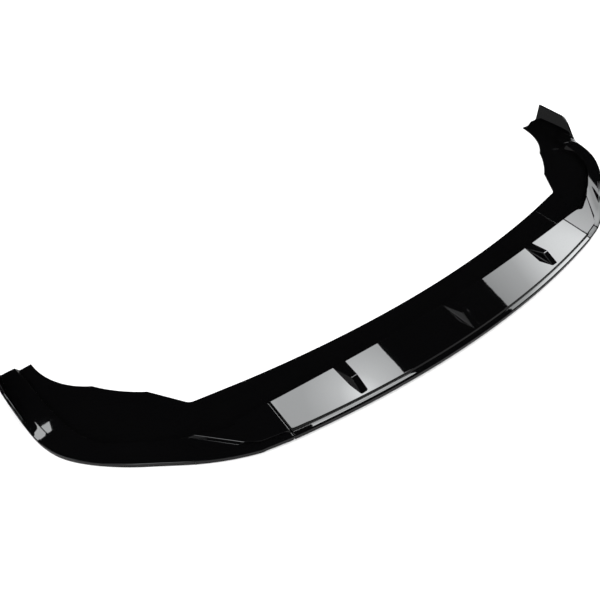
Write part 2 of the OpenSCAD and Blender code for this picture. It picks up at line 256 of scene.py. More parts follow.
def measure(name, default, low, high, description):
    return bpy.props.FloatProperty(name=name, description=description, default=default, min=low, max=high,
                                   unit="LENGTH", subtype="DISTANCE")


def tint(name, default, description):
    return bpy.props.FloatVectorProperty(name=name, description=description, default=default, min=0, max=1,
                                         size=3, subtype="COLOR")


class SplitterSizes(bpy.types.PropertyGroup):
    overall_width: measure("Overall width", 1.66, 1.6, 1.72, "Width across the feet of the two end plates")
    side_depth: measure("Side depth", 0.44, 0.41, 0.47, "From the leading edge at a seam to the lip's rear end")
    wall: measure("Wall", 0.003, 0.0024, 0.0036, "Wall thickness of the raised channel")
    flange_thickness: measure("Flange thickness", 0.003, 0.0024, 0.004, "Thickness of the mounting flange")
    deck_height: measure("Deck height", 0.028, 0.025, 0.032, "Height of the deck's rear edge in the middle")
    shelf_height: measure("Shelf height", 0.0155, 0.013, 0.017, "Height of the side shelves' rear edge")
    fin_height: measure("Fin height", 0.014, 0.008, 0.02, "Height of a fin's peak above the deck")
    fin_pitch: measure("Fin pitch", 0.293, 0.24, 0.33, "Distance between neighbouring fins")
    plate_height: measure("End plate height", 0.048, 0.035, 0.06, "Height of an end plate above the shelf")
    plate_thickness: measure("End plate thickness", 0.005, 0.003, 0.006, "Thickness of an end plate at its top")
    seam_round: measure("Seam edge radius", 0.0021, 0.0003, 0.0024, "Radius of the moulded edges at a seam")
    pilot_recess: measure("Pilot recess", 0.0065, 0.0045, 0.008, "Diameter of the flange's pilot recesses")
    plastic_colour: tint("Plastic", (0.001, 0.001, 0.0011), "Colour of the moulded plastic")
    plastic_roughness: bpy.props.FloatProperty(
        name="Plastic roughness", description="Roughness of the polished upper side",
        default=0.02, min=0, max=1, subtype="FACTOR")
    zinc_colour: tint("Zinc", (0.62, 0.63, 0.65), "Colour of the zinc plated seam hardware")
    floor_colour: tint("Floor", (0.86, 0.86, 0.86), "Colour of the studio floor")


def sizes():
    """The sizes a user can change, in millimetres."""
    kept = bpy.context.scene.splitter_lip
    names = [p.identifier for p in kept.bl_rna.properties if getattr(p, "unit", "") == "LENGTH"]
    return SimpleNamespace(**{name: getattr(kept, name) / MM for name in names})


def mix(a, b, t):
    return a + (b - a) * t


def ease(t):
    s = min(max(t, 0), 1)
    return s * s * (3 - 2 * s)


def ramp(t, soft):
    """0 to 1 along a straight slope whose two ends are rounded over soft."""
    if t <= -soft:
        return 0.0
    if t < soft:
        return (t + soft) ** 2 / (4 * soft)
    if t <= 1 - soft:
        return t
    if t < 1 + soft:
        return 1 - (1 + soft - t) ** 2 / (4 * soft)
    return 1.0


def lower_of(a, b, blend):
    """The lower of two heights, with the edge between them rounded."""
    near = max(blend - abs(a - b), 0)
    return min(a, b) - near * near / (4 * blend)


def left_of(v):
    return Vector((-v.y, v.x))


def at_z(p, z):
    return Vector((p.x, p.y, z))


def through(points, s):
    """Point on a smooth curve through the points, at station s."""
    last = len(points) - 1
    i = min(int(s), last - 1)
    t = s - i
    a, b, c, d = (Vector(points[k]) for k in (max(i - 1, 0), i, i + 1, min(i + 2, last)))
    return (2 * b + (c - a) * t + (2 * a - 5 * b + 4 * c - d) * t ** 2 + (3 * b - a - 3 * c + d) * t ** 3) / 2


def share(x):
    return abs(x) / SEAM_X


def flange_rear(x):
    return FLANGE_REACH + FLANGE_BOW * share(x) ** 2


def crease_y(x):
    return CREASE_BOW * share(x) ** CREASE_POWER - CREASE_REACH


def lead_y(x):
    return LEAD_BOW * share(x) ** 2 - LEAD_REACH


def deck_level(size, x):
    return size.deck_height - DECK_FALL * share(x) ** 2


def centre_cut(size, x):
    """Cross-section of the centre moulding at distance x from the centre line."""
    rear_z = deck_level(size, x)
    front_z = rear_z - DECK_TILT
    strip = front_z - STEP_H
    straight = Vector((0, 1))
    groove = Vector((x, lead_y(x) + STRIP_W))
    return SimpleNamespace(
        crease=Vector((x, crease_y(x))), crease_in=straight, groove=groove,
        lead=Vector((x, lead_y(x))), lead_in=straight, flange=Vector((x, flange_rear(x))),
        crease_z=rear_z, front_z=front_z, strip_z=strip, top=strip - STRIP_FALL,
        bottom=strip - STRIP_FALL - FACE_H, rise=0, bead=BEAD_H,
        under_crease=rear_z - size.wall, under_front=front_z - size.wall,
        foot=rear_z * math.tan(math.radians(REAR_DRAFT)), spread=0, behind=0, fillet=PLATE_FILLET,
        pad=groove, pad_foot=strip, step_lean=STEP_LEAN)


def stretched(size, v):
    return Vector((v[0] * (size.overall_width / 2 - SIDE_START) / SIDE_SPAN[0],
                   v[1] * size.side_depth / SIDE_SPAN[1]))


def placed(size, v, y):
    return Vector((SIDE_START, y)) + stretched(size, v)


def side_lead(size, s):
    return placed(size, through(SIDE_LEAD, s), lead_y(SEAM_X))


def side_normal(size, points, s):
    """Direction across a side outline, square to the car at the seam."""
    step = through(points, min(s + NEXT, SIDE_END)) - through(points, max(s - NEXT, 0))
    return mix(Vector((0, 1)), left_of(stretched(size, step).normalized()), min(s, 1)).normalized()


def arc(p, q, turn, t):
    """Point at share t of a circular arc from p to q that turns left by turn degrees."""
    angle = math.radians(turn)
    radius = (q - p).length / 2 / math.sin(angle / 2)
    centre = (p + q) / 2 + left_of((q - p).normalized()) * radius * math.cos(angle / 2)
    start = math.atan2(p.y - centre.y, p.x - centre.x) + angle * t
    return centre + radius * Vector((math.cos(start), math.sin(start)))


def flange_edge(size, s):
    """Rear edge of a side section's flange, at station s."""
    start = Vector((SIDE_START, flange_rear(SEAM_X)))
    bend, notch, second, tip = (placed(size, p, start.y) for p in FLANGE_CORNERS)
    if s >= NOTCHES_AT[1]:
        return arc(second, tip, SCALLOP_TURNS[1], (s - NOTCHES_AT[1]) / (SIDE_END - NOTCHES_AT[1]))
    if s >= NOTCHES_AT[0]:
        return arc(notch, second, SCALLOP_TURNS[0], (s - NOTCHES_AT[0]) / (NOTCHES_AT[1] - NOTCHES_AT[0]))
    back = (start - bend).normalized()
    on = (notch - bend).normalized()
    half = math.acos(back.dot(on)) / 2
    cut = BEND_R / math.tan(half)
    begin, end = bend + back * cut, bend + on * cut
    if s < BENDS_AT[0]:
        return mix(start, begin, s / BENDS_AT[0])
    if s > BENDS_AT[1]:
        return mix(end, notch, (s - BENDS_AT[1]) / (NOTCHES_AT[0] - BENDS_AT[1]))
    return arc(begin, end, 180 - 2 * math.degrees(half), s - BENDS_AT[0])


def pad_level(size, p):
    """Height of the raised deck's plane on a side section."""
    depth = crease_y(SEAM_X) - lead_y(SEAM_X) - STRIP_W
    return (size.deck_height - DECK_FALL + (p.y - crease_y(SEAM_X)) * DECK_TILT / depth
            - (p.x - SIDE_START) * PAD_FALL)


def pad_corner(size, s):
    """How far the raised deck's front edge draws back at station s, for its rounded corner."""
    if s > DECK_END:
        return PAD_CORNER_R * (1 - ease((s - SHELF_START) / CORNER_FADE))
    short = max(PAD_CORNER_R - (side_lead(size, DECK_END) - side_lead(size, s)).length, 0)
    return PAD_CORNER_R - math.sqrt(max(PAD_CORNER_R ** 2 - short ** 2, 0))


def pad_end(s):
    """Share of the raised deck's height at station s, past its rounded edge, its steep wall and its foot."""
    u = max(s - PAD_EDGE_AT, 0) / PAD_EDGE
    turned = math.sqrt(1 - PAD_TURN ** 2)
    fall = 0.5 * PAD_TURN / turned
    foot, end = PAD_FOOT
    if u < PAD_TURN:
        return 0.5 + 0.5 * math.sqrt(1 - u ** 2)
    if u < foot:
        return 0.5 + 0.5 * turned - fall * (u - PAD_TURN)
    return fall * max(end - u, 0) ** 2 / (2 * (end - foot))


def side_cut(size, s):
    """Cross-section of a side moulding at station s, from the seam at 0 to the rear end."""
    crease = placed(size, through(SIDE_CREASE, s), crease_y(SEAM_X))
    lead = side_lead(size, s)
    lead_in = side_normal(size, SIDE_LEAD, s)
    seam_strip = size.deck_height - DECK_FALL - DECK_TILT - STEP_H
    raised = pad_end(s)
    hollow = 1 - ramp((s - LINING_DROP[0]) / (LINING_DROP[1] - LINING_DROP[0]), LINING_SOFT)
    out = s / RIM_LEVEL_AT
    bottom = max(mix(seam_strip - STRIP_FALL, RIM_H, ease(out)) - FACE_H, 0)
    top = mix(seam_strip - STRIP_FALL, RIM_H, 1 - max(1 - out, 0) ** RIM_BOW)
    shelf_front = size.shelf_height - SHELF_FALL * mix(SHELF_FALL_SHARE, 1, ease(out))
    strip = mix(seam_strip, shelf_front, min(s / STRIP_LEVEL_AT, 1))
    past = lead.y - side_lead(size, SIDE_END).y + PLATE_LEN
    fillet = PLATE_FILLET + PLATE_FLARE * ease((FLARE_START - past) / FLARE_RUN)
    spread = ease((s - SPREAD_AT) / SPREAD_RUN)
    width = mix(STRIP_W, max(STRIP_W, PLATE_FOOT + fillet + STRIP_MARGIN), spread)
    groove = lead + width * lead_in
    inset = pad_corner(size, s) / (crease - groove).length
    pad = mix(groove, crease, inset)
    pad_foot = mix(strip, size.shelf_height, inset * min(s / DECK_END, 1))
    deck_rear, deck_front = pad_level(size, crease), pad_level(size, pad)
    crease_z = mix(size.shelf_height, deck_rear, raised)
    draft = mix(REAR_DRAFT, END_DRAFT, ease((s - DRAFT_FROM) / (SIDE_END - DRAFT_FROM)))
    return SimpleNamespace(
        crease=crease, crease_in=side_normal(size, SIDE_CREASE, s), groove=groove, lead=lead, lead_in=lead_in,
        flange=flange_edge(size, s), crease_z=crease_z, front_z=mix(pad_foot + SHELF_EASE, deck_front, raised),
        strip_z=strip, top=top, bottom=bottom, rise=size.plate_height * ease((past + PLATE_RAMP) / PLATE_RAMP),
        bead=BEAD_H * (1 - ease(s / BEAD_FADE)),
        under_crease=mix(size.shelf_height, deck_rear, hollow) - size.wall,
        under_front=mix(pad_foot, deck_front, hollow) - size.wall,
        foot=crease_z * math.tan(math.radians(draft)), spread=spread, behind=ease(past / PLATE_LEN),
        fillet=fillet, pad=pad, pad_foot=pad_foot, step_lean=mix(STEP_LEAN, SIDE_STEP_LEAN, ease(s)))


def corners(size, cut):
    """Corners of a cross-section, each with its radius and whether it is on the polished upper side."""
    c, lead, c_in, l_in, pad = cut.crease, cut.lead, cut.crease_in, cut.lead_in, cut.pad
    thick, wall = size.flange_thickness, size.wall
    below = cut.crease_z - CREASE_CHAMFER
    formed = ease(cut.rise / PLATE_FORMS)
    full = cut.rise / size.plate_height
    lean = PLATE_LEAN * full
    rake = Vector((0, PLATE_RAKE * full * cut.behind))
    width = (cut.groove - lead).length
    crest = cut.strip_z + cut.bead
    step_run = max(STEP_RUN, cut.step_lean * (cut.front_z - cut.pad_foot))
    edge_r = mix(RADII.edge, RADII.plate_edge, formed)
    ring = []

    def put(plan, z, radius=0, top=True):
        ring.append((at_z(plan, z), radius, top))

    put(cut.flange, 0, RADII.flange_foot)
    put(cut.flange, thick, RADII.flange_top)
    put(c + c_in * cut.foot * (1 - thick / below), thick, RADII.wall_foot)
    put(c + c_in * cut.foot * (1 - cut.crease_z / below), cut.crease_z, RADII.crease)
    for q in (0.25, 0.5, 0.75):
        put(mix(c, pad, q), mix(cut.crease_z, cut.front_z, q))
    put(pad, cut.front_z, RADII.deck_front)
    put(pad - l_in * step_run, cut.pad_foot, RADII.step_foot)
    for i in range(BEAD_STEPS + 1):
        q = i / BEAD_STEPS
        angle = q * math.pi / 2
        on_plate = PLATE_FOOT + cut.fillet * (1 - math.sin(angle))
        run = mix(width * mix(*BEAD_SPAN, q), on_plate, cut.spread)
        bead_z = mix(crest, cut.top, BEAD_DROP[0] * q + BEAD_DROP[1] * q * q)
        plate_z = mix(cut.top, cut.strip_z, run / width) + cut.fillet * (1 - math.cos(angle)) * formed
        put(lead + l_in * run, mix(bead_z, plate_z, cut.spread))
    edge_w = mix(EDGE_W, size.plate_thickness - lean, formed)
    put(lead + l_in * edge_w + rake, cut.top + cut.rise, edge_r)
    put(lead - l_in * lean + rake, cut.top + cut.rise - EDGE_W * (1 - formed), edge_r)
    put(lead, cut.bottom, RADII.face_foot)
    put(lead + l_in * wall, cut.bottom, RADII.lining, False)
    put(lead + l_in * wall, cut.top - wall, 0, False)
    put(pad + l_in * wall * LINING_INSET[0], cut.pad_foot - wall, 0, False)
    put(pad + l_in * wall * LINING_INSET[1], cut.under_front, 0, False)
    put(mix(c, pad, 0.5), mix(cut.under_crease, cut.under_front, 0.5), 0, False)
    put(c - c_in * wall, cut.under_crease, 0, False)
    put(c + c_in * (cut.foot - wall), 0, 0, False)
    return ring


def rounded_ring(ring, arc_steps=3):
    """Points of a closed ring whose corners are rounded, with a holding point each side of each arc."""
    points, upper = [], []
    for i, (b, radius, top) in enumerate(ring):
        if not radius:
            points.append(b)
            upper.append(top)
            continue
        to_a, to_c = ring[i - 1][0] - b, ring[(i + 1) % len(ring)][0] - b
        reach_a, reach_c = to_a.length, to_c.length
        to_a.normalize()
        to_c.normalize()
        half = math.acos(max(-1, min(1, to_a.dot(to_c)))) / 2
        cut = radius / max(math.tan(half), STRAIGHT)
        cut = max(min(cut, CORNER_REACH * reach_a, CORNER_REACH * reach_c), LEAST_CUT)
        start, end = b + to_a * cut, b + to_c * cut
        points.append(b + to_a * min(cut + CORNER_HOLD, HOLD_REACH * reach_a))
        for k in range(arc_steps + 1):
            u = k / arc_steps
            points.append(start * (1 - u) ** 2 + b * 2 * u * (1 - u) + end * u * u)
        points.append(b + to_c * min(cut + CORNER_HOLD, HOLD_REACH * reach_c))
        upper += [top] * (arc_steps + 3)
    return points, upper


def inset_ring(ring, distance):
    """Ring of a seam's end face: the polished side moved inwards by distance."""
    moved = []
    for i, (b, radius, top) in enumerate(ring):
        before, after = ring[i - 1], ring[(i + 1) % len(ring)]
        to, on = (b - before[0]).normalized(), (after[0] - b).normalized()
        side_to = distance if before[2] and top and i else 0
        side_on = distance if top and after[2] else 0
        turn = to.y * on.z - to.z * on.y
        if abs(turn) > STRAIGHT:
            shift = (on * side_to - to * side_on) / turn
        else:
            shift = Vector((0, -to.z, to.y)) * max(side_to, side_on)
        kept = max(radius - distance, LEAST_R) if turn > 0 else radius + distance
        moved.append((b + shift, kept if radius else 0, top))
    return moved


def add_loft(mesh, rings, upper):
    """Adds a closed loft through rings of equal length; lining faces get material index 1."""
    rows = [[mesh.verts.new(p * MM) for p in ring] for ring in rings]
    count = len(rows[0])
    for near, far in zip(rows, rows[1:]):
        for i in range(count):
            j = (i + 1) % count
            face = mesh.faces.new((near[i], far[i], far[j], near[j]))
            face.material_index = 0 if upper[i] and upper[j] else 1
    for row in (rows[0], rows[-1]):
        for tri in tessellate_polygon([[v.co for v in row]]):
            mesh.faces.new([row[k] for k in tri])


def round_steps(radius, steps=4):
    """Rings of a seam's rounded edge: how far in from the end, and how far below the surface."""
    pairs = []
    for k in range(steps + 1):
        angle = k / steps * math.pi / 2
        pairs.append((radius * (1 - math.cos(angle)), radius * (1 - math.sin(angle))))
    return pairs + [(radius + hold, 0) for hold in SEAM_HOLDS]


def seam_rings(make, radius):
    """Rings of a moulding's edge at a seam; make gives the corners at a distance from the end."""
    rings = []
    for (along, below), (flat_along, flat_below) in zip(round_steps(radius), round_steps(radius * FLANGE_ROUND)):
        raised = inset_ring(make(along), below)
        flat = inset_ring(make(flat_along - SEAM_RELIEF), flat_below)
        rings.append(flat[:WALL_FOOT + 1] + raised[WALL_FOOT + 1:])
    return rings


def moulding(name, rings):
    """The bare channel of a moulding, lofted through rings of corners."""
    mesh = bmesh.new()
    laid = [rounded_ring(ring) for ring in rings]
    add_loft(mesh, [points for points, _ in laid], laid[0][1])
    bmesh.ops.remove_doubles(mesh, verts=mesh.verts, dist=WELD)
    bmesh.ops.dissolve_degenerate(mesh, edges=mesh.edges, dist=WELD / 20)
    bmesh.ops.recalc_face_normals(mesh, faces=mesh.faces)
    return to_object(name, mesh)


def to_object(name, mesh):
    data = bpy.data.meshes.new(name)
    mesh.to_mesh(data)
    mesh.free()
    obj = bpy.data.objects.new(name, data)
    bpy.context.scene.collection.objects.link(obj)
    return obj


def baked(obj):
    """Works an object's modifiers into its mesh."""
    bpy.context.view_layer.update()
    graph = bpy.context.evaluated_depsgraph_get()
    data = bpy.data.meshes.new_from_object(obj.evaluated_get(graph))
    obj.modifiers.clear()
    old = obj.data
    obj.data = data
    bpy.data.meshes.remove(old)


def add_skin(mesh, rows, closed=False):
    """Joins rows of vertices that go round; the last is joined to the first, or else both are capped."""
    pairs = list(zip(rows, rows[1:]))
    if closed:
        pairs.append((rows[-1], rows[0]))
    for near, far in pairs:
        for i in range(len(near)):
            j = (i + 1) % len(near)
            mesh.faces.new((near[i], near[j], far[j], far[i]))
    if not closed:
        mesh.faces.new(reversed(rows[0]))
        mesh.faces.new(rows[-1])


def round_row(mesh, count, make, place=Matrix()):
    """Adds a row of vertices around the X axis; make gives a vertex's place along it and radius by angle."""
    row = []
    for k in range(count):
        angle = 2 * math.pi * k / count
        x, radius = make(angle)
        around = Vector((x, radius * math.cos(angle), radius * math.sin(angle)))
        row.append(mesh.verts.new(place @ (around * MM)))
    return row


def add_lathe(mesh, profile, place=Matrix(), closed=True):
    """Adds the shape that a profile of (along, radius) pairs sweeps around X, moved to its place."""
    add_skin(mesh, [round_row(mesh, ROUND_STEPS, lambda angle: pair, place) for pair in profile], closed)


def pierce(obj, cutters):
    """Cuts holes through an object: each cutter is a lathe profile and its place."""
    mesh = bmesh.new()
    for profile, place in cutters:
        add_lathe(mesh, profile, place, closed=False)
    bmesh.ops.recalc_face_normals(mesh, faces=mesh.faces)
    tool = to_object("hole_cutter", mesh)
    cut = obj.modifiers.new("Holes", "BOOLEAN")
    cut.operation = "DIFFERENCE"
    cut.solver = "EXACT"
    cut.object = tool
    baked(obj)
    bpy.data.meshes.remove(tool.data)


def recess_cutter(size, p):
    """Cutter for a pilot recess in the flange's underside, with a small chamfer at its mouth."""
    r = size.pilot_recess / 2
    profile = [(-1, r + RECESS_CHAMFER + 1), (RECESS_CHAMFER, r), (RECESS_DEPTH, r)]
    turn = Matrix.Rotation(math.radians(-90), 4, "Y")
    return profile, Matrix.Translation((p[0] * MM, p[1] * MM, 0)) @ turn


def bolt_rows():
    front = lead_y(SEAM_X) + STRIP_W
    return [mix(crease_y(SEAM_X), front, t) for t in BOLT_ROWS]


def seam_cutters(xs):
    """Cutters for the bolt holes of the seams at xs."""
    profile = [(-BOLT_LEN / 2, HOLE_R), (BOLT_LEN / 2, HOLE_R)]
    return [(profile, Matrix.Translation((x * MM, y * MM, BOLT_Z * MM))) for x in xs for y in bolt_rows()]


def add_web(mesh, size, cut, thick, foot):
    """Adds a rib or an end wall across the channel, on the left of its line in plan."""
    span = cut.crease - cut.lead
    length = span.length
    along = span.normalized()
    half = size.wall / 2
    lead_run = 1 / along.dot(cut.lead_in)
    rear_run = 1 / along.dot(cut.crease_in)
    width = (cut.groove - cut.lead).length
    outline = [(half * lead_run, max(cut.bottom, foot)), (half * lead_run, cut.top - half),
               ((width + half) * lead_run, cut.strip_z - half),
               ((width + size.wall) * lead_run, cut.under_front + half),
               (length - half * rear_run, cut.under_crease + half),
               (length + (cut.foot - half) * rear_run, foot)]
    side = Vector((along.y, -along.x))
    near, far = ([mesh.verts.new(at_z(cut.lead + along * u + side * shift, z) * MM) for u, z in outline]
                 for shift in (0, thick))
    made = [mesh.faces.new(near), mesh.faces.new(list(reversed(far)))]
    for i in range(len(near)):
        j = (i + 1) % len(near)
        made.append(mesh.faces.new((near[j], near[i], far[i], far[j])))
    for face in made:
        face.material_index = 1


def add_end_walls(mesh, size, cuts, seams):
    """Adds the walls that close a channel at its seams, with their bolt holes."""
    walls = bmesh.new()
    for cut in cuts:
        add_web(walls, size, cut, END_WALL_T, 0)
    bmesh.ops.recalc_face_normals(walls, faces=walls.faces)
    made = to_object("end_walls", walls)
    pierce(made, seam_cutters(seams))
    mesh.from_mesh(made.data)
    bpy.data.meshes.remove(made.data)


def fin_rows(length):
    """Shares of a fin's length at which its rows lie, close together at its ends and its peak."""
    near_end = (0.3, 0.7, 1.3, 2.2, 4)
    near_peak = (0.4, 0.8, 1.4, 2.4, 4)
    peak = FIN_PEAK_AT * length
    along = [-0.1, 0, *near_end]
    along += [mix(4, peak - 4, k / 9) for k in range(1, 9)]
    along += [peak - d for d in reversed(near_peak)] + [peak + d for d in (0, *near_peak)]
    along += [mix(peak + 4, length - 4, k / 8) for k in range(1, 8)]
    along += [length - d for d in (*reversed(near_end), 0, -0.2, -0.5, -1)]
    return [d / length for d in along]


def add_fin(mesh, size, middle):
    """Adds a wedge-shaped fin with rounded edges and a small fillet where it meets the deck."""
    rear = crease_y(middle) - FIN_REAR_GAP
    length = rear - lead_y(middle) - STRIP_W - FIN_FRONT_GAP
    peak, high = FIN_PEAK_AT, size.fin_height
    rear_half, peak_half, front_half = (width / 2 for width in FIN_WIDTHS)
    side_slope = high / (mix(rear_half, front_half, peak) - peak_half)

    def deck_at(x, y):
        back, ahead = crease_y(x), lead_y(x) + STRIP_W
        return deck_level(size, x) - DECK_TILT * (back - y) / (back - ahead)

    rows = []
    for t in fin_rows(length):
        held = min(max(t, 0), 1)
        base = mix(rear_half, front_half, held)
        if held < peak:
            crest = mix(rear_half, peak_half, held / peak)
        else:
            crest = mix(peak_half, front_half, (held - peak) / (1 - peak))
        to_front = (1 - held) * length
        base -= FIN_CORNER_R - math.sqrt(FIN_CORNER_R ** 2 - max(FIN_CORNER_R - to_front, 0) ** 2)
        crest = min(crest, base)
        half = [base + d for d in FIN_FOOT_ROWS]
        half += [mix(base, crest, k / 8) for k in range(9)]
        half += [max(crest - d, crest * 0.2) for d in FIN_EDGE_ROWS]
        half += [half[-1] * k for k in (0.66, 0.33)]
        row = []
        for x in half + [0] + [-x for x in reversed(half)]:
            slope = lower_of(high * t / peak, high * (1 - t) / (1 - peak), FIN_PEAK_BLEND)
            slope = -lower_of(-slope, 0, FIN_FOOT_BLEND)
            foot, edge = (min(most, FIN_LEAST_BLEND + grow * abs(slope)) for grow, most in FIN_SIDE_BLENDS)
            side = -lower_of(-(base - abs(x)) * side_slope, 0, foot)
            height = lower_of(slope, side, edge) - FIN_SINK
            y = rear - t * length + (crease_y(middle + x) - crease_y(middle)) * (1 - held)
            z = deck_at(middle + x, y) + max(height, -FIN_ROOT)
            row.append(mesh.verts.new(Vector((middle + x, y, z)) * MM))
        rows.append(row)
    for near, far in zip(rows, rows[1:]):
        for i in range(len(near) - 1):
            mesh.faces.new((near[i], far[i], far[i + 1], near[i + 1]))
    rim = rows[0] + [row[-1] for row in rows[1:]] + rows[-1][-2::-1] + [row[0] for row in rows[-2:0:-1]]
    low = [mesh.verts.new(v.co - Vector((0, 0, FIN_SKIRT * MM))) for v in rim]
    centre = mesh.verts.new(sum((v.co for v in low), Vector()) / len(low))
    for i in range(len(rim)):
        j = (i + 1) % len(rim)
        mesh.faces.new((rim[i], rim[j], low[j], low[i]))
        mesh.faces.new((low[i], low[j], centre))


def smooth_faces(mesh, turn):
    """Smooths a mesh, apart from the edges that turn more than turn degrees."""
    for face in mesh.faces:
        face.smooth = True
    for edge in mesh.edges:
        if len(edge.link_faces) == 2:
            edge.smooth = edge.calc_face_angle(0) < math.radians(turn)


def complete(obj, extra):
    """Joins the fins and ribs to a moulding and marks its underside."""
    bmesh.ops.recalc_face_normals(extra, faces=extra.faces)
    mesh = bmesh.new()
    mesh.from_mesh(obj.data)
    held = bpy.data.meshes.new("extra")
    extra.to_mesh(held)
    extra.free()
    mesh.from_mesh(held)
    bpy.data.meshes.remove(held)
    under = mesh.faces.layers.float.new("underside")
    for face in mesh.faces:
        face[under] = 1.0 if face.material_index else 0.0
        face.material_index = 0
    smooth_faces(mesh, MOULDED_TURN)
    mesh.to_mesh(obj.data)
    mesh.free()


def mirrored(obj, name):
    mesh = bmesh.new()
    mesh.from_mesh(obj.data)
    for vert in mesh.verts:
        vert.co.x = -vert.co.x
    bmesh.ops.reverse_faces(mesh, faces=mesh.faces)
    return to_object(name, mesh)


class Value:
    """A node's output that can be used in Python sums."""

    def __init__(self, sheet, socket):
        self.sheet = sheet
        self.socket = socket

    def sum(self, operation, first, second):
        made = self.sheet.node("ShaderNodeMath", {0: first, 1: second}, operation=operation)
        return Value(self.sheet, made.outputs[0])

    def __add__(self, other):
        return self.sum("ADD", self, other)

    def __rsub__(self, other):
        return self.sum("SUBTRACT", other, self)

    def __mul__(self, other):
        return self.sum("MULTIPLY", self, other)

    __radd__ = __add__
    __rmul__ = __mul__


class Sheet:
    """The nodes of one tree: a material's, the world's or a node group's."""

    def __init__(self, tree):
        self.tree = tree
        tree.nodes.clear()

    def node(self, kind, sockets=None, **settings):
        """Adds a node with its settings, and fills its sockets with values or links."""
        made = self.tree.nodes.new(kind)
        for key, value in settings.items():
            if key == "stops":
                ramp_stops = made.color_ramp.elements
                while len(ramp_stops) < len(value):
                    ramp_stops.new(value[len(ramp_stops) - 1][0])
                for stop, (position, colour) in zip(ramp_stops, value):
                    stop.position = position
                    stop.color = colour
            else:
                setattr(made, key, value)
        for key, value in (sockets or {}).items():
            if isinstance(value, Value):
                value = value.socket
            elif isinstance(value, bpy.types.Node):
                value = value.outputs[0]
            if isinstance(value, bpy.types.NodeSocket):
                self.tree.links.new(value, made.inputs[key])
            else:
                made.inputs[key].default_value = value
        return made

    def place(self):
        return self.node("ShaderNodeTexCoord").outputs["Object"]

    def noise(self, scale, detail=2.0, roughness=0.5):
        made = self.node("ShaderNodeTexNoise", {
            "Vector": self.place(), "Scale": scale, "Detail": detail, "Roughness": roughness})
        return Value(self, made.outputs["Fac"])

    def blend(self, factor, first, second):
        """Mixes two colours; a mix node's colour sockets are its inputs 6 and 7 and its output 2."""
        made = self.node("ShaderNodeMix", {"Factor": factor, 6: (*first, 1), 7: (*second, 1)}, data_type="RGBA")
        return made.outputs[2]

    def split(self, first, second):
        """First shader for what the camera sees, second for what shows in the gloss."""
        glossy = self.node("ShaderNodeLightPath").outputs["Is Glossy Ray"]
        return self.node("ShaderNodeMixShader", {0: glossy, 1: first, 2: second})

    def surface(self, shader, kind="ShaderNodeOutputMaterial"):
        self.node(kind, {"Surface": shader})


def new_material(name):
    made = bpy.data.materials.new(name)
    made.use_nodes = True
    return made, Sheet(made.node_tree)


def scaled(colour, factor):
    return tuple(c * factor for c in colour)


def gloss_plastic():
    """Polished black plastic above, plain moulded finish below."""
    kept = bpy.context.scene.splitter_lip
    material, sheet = new_material("gloss_black_plastic")
    under = Value(sheet, sheet.node("ShaderNodeAttribute", attribute_name="underside").outputs["Fac"])
    flow = sheet.noise(9, 2)
    peel = sheet.noise(95, 1)
    grain = sheet.noise(2600, 2)
    dust = sheet.noise(900, 4, 0.6)
    black = tuple(kept.plastic_colour)
    colour = sheet.blend(flow * 0.6 + dust * 0.2, black, scaled(black, 1.6))
    polish = kept.plastic_roughness
    rough = polish * 0.8 + flow * (0.4 * polish) + under * (0.3 + grain * 0.12)
    height = peel * (1 - under * 0.5) + under * grain * 0.6
    bump = sheet.node("ShaderNodeBump", {"Strength": 0.03, "Distance": 0.0002, "Height": height})
    shader = sheet.node("ShaderNodeBsdfPrincipled", {
        "Base Color": colour, "Roughness": rough, "Normal": bump, "IOR": 1.5})
    sheet.surface(shader)
    return material


def zinc_plate():
    """Bright zinc plated steel with faint rolling marks."""
    kept = bpy.context.scene.splitter_lip
    material, sheet = new_material("zinc_plated_steel")
    cloud = sheet.noise(420, 3)
    fine = sheet.noise(4200, 2)
    zinc = tuple(kept.zinc_colour)
    colour = sheet.blend(cloud, zinc, tuple(c * m for c, m in zip(zinc, (0.82, 0.84, 0.9))))
    bump = sheet.node("ShaderNodeBump", {"Strength": 0.2, "Distance": 0.00005, "Height": fine})
    shader = sheet.node("ShaderNodeBsdfPrincipled", {
        "Base Color": colour, "Metallic": 1.0, "Roughness": 0.22 + cloud * 0.18, "Normal": bump})
    sheet.surface(shader)
    return material


def dress(obj, material, replaced):
    """Gives a finished piece its material and places it in the frame."""
    obj.data.materials.clear()
    obj.data.materials.append(material)
    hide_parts(replaced)
    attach(obj, "root")


def shared(name, make):
    """The material of this name, made the first time it is asked for."""
    return bpy.data.materials.get(name) or make()


